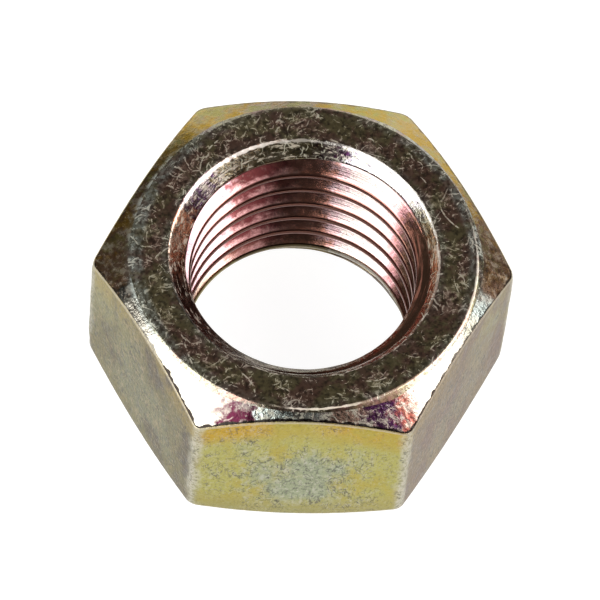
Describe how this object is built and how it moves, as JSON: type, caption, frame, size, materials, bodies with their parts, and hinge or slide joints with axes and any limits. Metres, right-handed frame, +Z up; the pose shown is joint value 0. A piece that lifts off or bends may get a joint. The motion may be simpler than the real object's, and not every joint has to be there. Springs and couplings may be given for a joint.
{
  "type": "threaded hexagon nut",
  "caption": "Steel hexagon nut with a coarse left-hand metric thread, chamfered on both ends, for a large bolt or stud.",
  "frame": {"origin": "centre of the bore in the plane of the bearing face that the nut lies on", "axes": "+Z up along the bore's axis, one flat faces -Y and two corners lie on the X axis"},
  "size_m": [0.0368, 0.032, 0.0188],
  "materials": {
    "plated_steel": "yellow-passivated zinc plate, scuffed, with faint pink and green bands"
  },
  "bodies": {
    "root": {"nut": "plated_steel"}
  },
  "joints": []
}
